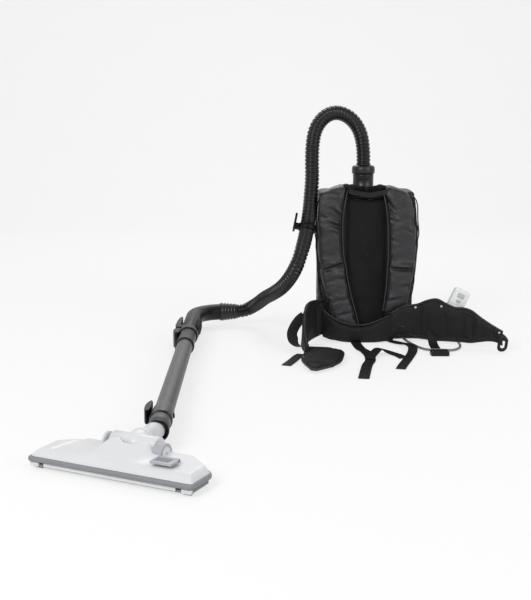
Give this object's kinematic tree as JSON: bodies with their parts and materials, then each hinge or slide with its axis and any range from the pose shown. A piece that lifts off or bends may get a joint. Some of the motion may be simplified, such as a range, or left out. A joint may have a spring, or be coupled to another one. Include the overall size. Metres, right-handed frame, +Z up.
{
  "type": "backpack vacuum cleaner",
  "caption": "Cordless backpack vacuum cleaner with padded harness, corrugated hose, telescopic wand and swivelling floor nozzle.",
  "frame": {"origin": "centre of the pack's underside, on the floor, at the middle foot", "axes": "+X to the right when facing the harness, +Y from the wearer's side to the side away from the wearer, +Z up"},
  "size_m": [0.9249, 1.2357, 0.5536],
  "materials": {
    "black_shell": "moulded black plastic, fine grain",
    "teal_shell": "moulded teal plastic, fine grain",
    "grille": "moulded dark plastic",
    "rubber": "soft black rubber",
    "steel": "turned steel",
    "filter": "pleated filter fleece",
    "bag_paper": "fleece dust bag",
    "bag_card": "pressed card",
    "cuff": "satin black plastic",
    "hose": "glossy corrugated black hose",
    "stator": "laminated iron",
    "impeller": "cast aluminium",
    "circuit": "printed circuit board",
    "battery": "moulded black plastic",
    "battery_button": "red moulded plastic",
    "handle": "satin charcoal plastic",
    "lever": "black moulded plastic",
    "wand": "satin grey enamel",
    "wand_inner": "anodised aluminium",
    "nozzle_white": "satin white plastic",
    "nozzle_grey": "soft grey plastic",
    "pedal": "grey plastic",
    "bristle": "black nylon bristle",
    "pad_mesh": "black spacer mesh",
    "strap_nylon": "dark coated nylon",
    "belt_nylon": "black woven nylon",
    "webbing": "black polyester webbing",
    "buckle": "black acetal",
    "control": "light grey plastic",
    "key": "grey plastic",
    "cable": "black cable sheath"
  },
  "bodies": {
    "pack": {"base_housing": "black_shell", "base_plate": "black_shell", "rubber_feet": "rubber", "back_frame": "black_shell", "rear_shell": "teal_shell", "exhaust_grille": "grille", "hinge_pins": "steel", "motor_plate": "grille", "motor_filter": "filter", "dust_bag": "bag_paper", "bag_collar": "bag_card", "inlet_socket": "cuff", "hose_cuff": "cuff", "motor_housing": "grille", "motor_stator": "stator", "motor_bearings": "steel", "circuit_board": "circuit", "elbow_pipe": "handle", "hose_end_cuff": "cuff", "handle_collar": "lever", "wand_outer_tube": "wand", "wand_lock_collar": "cuff", "back_pad": "pad_mesh", "shoulder_strap_left": "strap_nylon", "shoulder_strap_right": "strap_nylon", "grab_loop": "strap_nylon", "left_belt_wing": "belt_nylon", "right_belt_wing": "belt_nylon", "belt_webbing_left": "webbing", "loose_webbing": "webbing", "hanging_buckle": "buckle", "belt_end_buckle": "buckle", "control_box": "control", "hose_tube": "hose", "control_cable": "cable", "hose_hook": "lever"},
    "fan": {"motor_shaft": "steel", "fan_impeller": "impeller"},
    "lid": {"rear_lid": "teal_shell"},
    "latch": {"lid_latch": "lever"},
    "battery_l": {"battery_left": "battery"},
    "battery_r": {"battery_right": "battery"},
    "release_l": {"battery_button_left": "battery_button"},
    "release_r": {"battery_button_right": "battery_button"},
    "handle_lever": {"handle_lock_lever": "lever"},
    "relief": {"relief_slider": "lever"},
    "paddle": {"wand_lock_lever": "lever"},
    "wand": {"wand_inner_tube": "wand_inner", "neck_socket": "lever"},
    "neck": {"neck_yoke": "nozzle_white"},
    "nozzle": {"nozzle_cover": "nozzle_white", "nozzle_base": "nozzle_grey", "bumper": "nozzle_grey", "pivot_caps": "nozzle_grey"},
    "pedal": {"floor_pedal": "pedal"},
    "brush": {"brush_strips": "bristle"},
    "wheels": {"rear_wheels": "rubber"},
    "rollers": {"front_rollers": "rubber"},
    "power_key": {"power_button": "key"},
    "mode_key": {"mode_button": "key"}
  },
  "joints": [
    {"name": "fan_spin", "type": "hinge", "parent": "pack", "child": "fan", "pos_m": [0, 0, 0.15], "axis": [0, 0, 1], "continuous": true},
    {"name": "lid_hinge", "type": "hinge", "parent": "pack", "child": "lid", "pos_m": [0, 0.071, 0.195], "axis": [-1, 0, 0], "range_deg": [0, 100]},
    {"name": "lid_latch_slide", "type": "slide", "parent": "lid", "child": "latch", "axis": [0, 0, -1], "range_m": [0, 0.003], "stiffness_N_per_m": 300},
    {"name": "battery_left_slide", "type": "slide", "parent": "pack", "child": "battery_l", "axis": [-1, 0, 0], "range_m": [0, 0.104]},
    {"name": "battery_right_slide", "type": "slide", "parent": "pack", "child": "battery_r", "axis": [1, 0, 0], "range_m": [0, 0.104]},
    {"name": "battery_left_release", "type": "slide", "parent": "battery_l", "child": "release_l", "axis": [1, 0, 0], "range_m": [0, 0.003], "stiffness_N_per_m": 300},
    {"name": "battery_right_release", "type": "slide", "parent": "battery_r", "child": "release_r", "axis": [-1, 0, 0], "range_m": [0, 0.003], "stiffness_N_per_m": 300},
    {"name": "handle_lever_turn", "type": "hinge", "parent": "pack", "child": "handle_lever", "pos_m": [-0.444, -0.145, 0.036], "axis": [0, 0, 1], "range_deg": [0, 18], "stiffness_Nm_per_rad": 0.2},
    {"name": "relief_slide", "type": "slide", "parent": "pack", "child": "relief", "axis": [0, 1, 0], "range_m": [0, 0.014]},
    {"name": "wand_lever_turn", "type": "hinge", "parent": "pack", "child": "paddle", "pos_m": [-0.444, -0.824, 0.036], "axis": [0, 0, 1], "range_deg": [0, 12], "stiffness_Nm_per_rad": 0.2},
    {"name": "wand_slide", "type": "slide", "parent": "pack", "child": "wand", "axis": [0, -1, 0], "range_m": [0, 0.3]},
    {"name": "neck_swivel", "type": "hinge", "parent": "wand", "child": "neck", "pos_m": [-0.418, -0.873, 0.036], "axis": [0, 1, 0], "range_deg": [-90, 90]},
    {"name": "nozzle_tilt", "type": "hinge", "parent": "neck", "child": "nozzle", "pos_m": [-0.44383, -0.98386, 0.036], "axis": [-0.8949, 0.4462, 0], "range_deg": [0, 75]},
    {"name": "pedal_rock", "type": "hinge", "parent": "nozzle", "child": "pedal", "pos_m": [-0.38695, -1.0558, 0.037], "axis": [0.8949, -0.4462, 0], "range_deg": [0, 5]},
    {"name": "brush_drop", "type": "slide", "parent": "nozzle", "child": "brush", "axis": [0, 0, -1], "range_m": [0, 0.0026]},
    {"name": "rear_wheel_spin", "type": "hinge", "parent": "nozzle", "child": "wheels", "pos_m": [-0.44428, -0.98476, 0.009], "axis": [0.8949, -0.4462, 0], "continuous": true},
    {"name": "front_roller_spin", "type": "hinge", "parent": "nozzle", "child": "rollers", "pos_m": [-0.47529, -1.04695, 0.0055], "axis": [0.8949, -0.4462, 0], "continuous": true},
    {"name": "power_press", "type": "slide", "parent": "pack", "child": "power_key", "axis": [0, 1, 0], "range_m": [0, 0.0015], "stiffness_N_per_m": 400},
    {"name": "mode_press", "type": "slide", "parent": "pack", "child": "mode_key", "axis": [0, 1, 0], "range_m": [0, 0.0015], "stiffness_N_per_m": 400}
  ],
  "couplings": [
    {"joint": "brush_drop", "follows": "pedal_rock", "m_per_rad": 0.0286}
  ]
}
